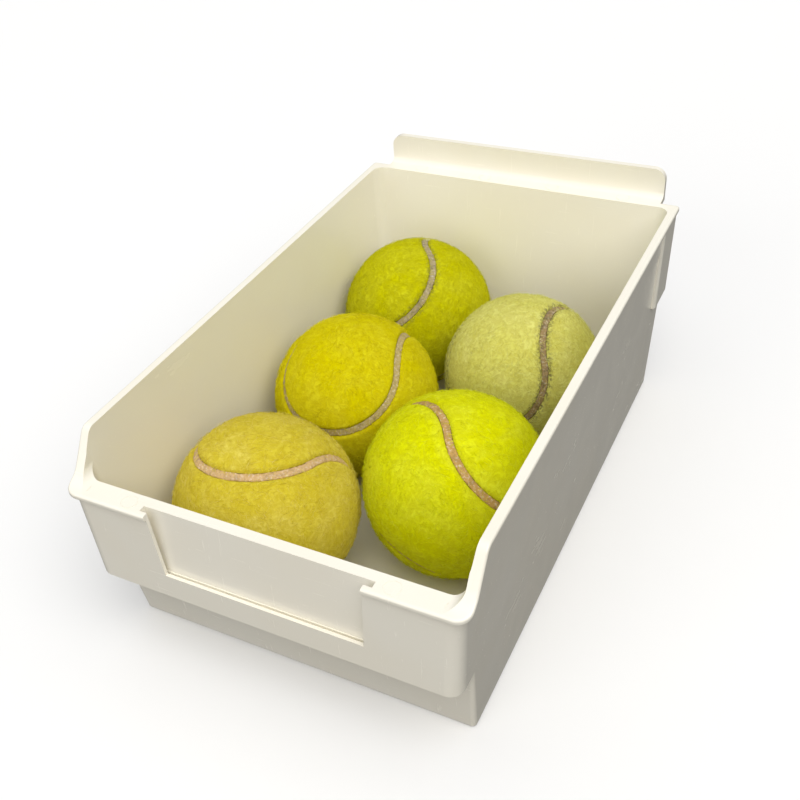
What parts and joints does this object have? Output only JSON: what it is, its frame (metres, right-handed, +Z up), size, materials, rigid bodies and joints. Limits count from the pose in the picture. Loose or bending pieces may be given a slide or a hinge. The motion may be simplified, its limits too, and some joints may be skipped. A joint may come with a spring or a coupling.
{
  "type": "tennis ball display bin",
  "caption": "Open ivory plastic slatwall display bin with a hook along its back and a low front lip, holding loose worn tennis balls.",
  "frame": {"origin": "middle of the whole object's length and width, on the base plane the bin stands on", "axes": "+Z up, +Y from the front lip towards the hook, +X across the bin"},
  "size_m": [0.14, 0.2304, 0.096],
  "materials": {
    "bin_plastic": "glossy ivory-white injection-moulded polystyrene",
    "felt_1": "brushed wool and nylon felt with a fuzzy, slightly dirty nap",
    "felt_2": "brushed wool and nylon felt with a fuzzy, slightly dirty nap",
    "felt_3": "brushed wool and nylon felt with a fuzzy, slightly dirty nap",
    "felt_4": "brushed wool and nylon felt with a fuzzy, slightly dirty nap",
    "felt_5": "brushed wool and nylon felt with a fuzzy, slightly dirty nap",
    "ball_seam": "matt, cured seam cement",
    "ball_core": "matt moulded rubber"
  },
  "bodies": {
    "bin": {"bin_body": "bin_plastic"},
    "ball_1": {"ball_1_core_lower": "ball_core", "ball_1_core_upper": "ball_core", "ball_1_seam": "ball_seam", "ball_1_felt_a": "felt_1", "ball_1_felt_b": "felt_1"},
    "ball_2": {"ball_2_core_lower": "ball_core", "ball_2_core_upper": "ball_core", "ball_2_seam": "ball_seam", "ball_2_felt_a": "felt_2", "ball_2_felt_b": "felt_2"},
    "ball_3": {"ball_3_core_lower": "ball_core", "ball_3_core_upper": "ball_core", "ball_3_seam": "ball_seam", "ball_3_felt_a": "felt_3", "ball_3_felt_b": "felt_3"},
    "ball_4": {"ball_4_core_lower": "ball_core", "ball_4_core_upper": "ball_core", "ball_4_seam": "ball_seam", "ball_4_felt_a": "felt_4", "ball_4_felt_b": "felt_4"},
    "ball_5": {"ball_5_core_lower": "ball_core", "ball_5_core_upper": "ball_core", "ball_5_seam": "ball_seam", "ball_5_felt_a": "felt_5", "ball_5_felt_b": "felt_5"}
  },
  "joints": [
    {"name": "ball_1_lift", "type": "slide", "parent": "bin", "child": "ball_1", "axis": [0, 0, 1], "range_m": [0, 0.12]},
    {"name": "ball_2_lift", "type": "slide", "parent": "bin", "child": "ball_2", "axis": [0, 0, 1], "range_m": [0, 0.12]},
    {"name": "ball_3_lift", "type": "slide", "parent": "bin", "child": "ball_3", "axis": [0, 0, 1], "range_m": [0, 0.12]},
    {"name": "ball_4_lift", "type": "slide", "parent": "bin", "child": "ball_4", "axis": [0, 0, 1], "range_m": [0, 0.12]},
    {"name": "ball_5_lift", "type": "slide", "parent": "bin", "child": "ball_5", "axis": [0, 0, 1], "range_m": [0, 0.12]}
  ]
}
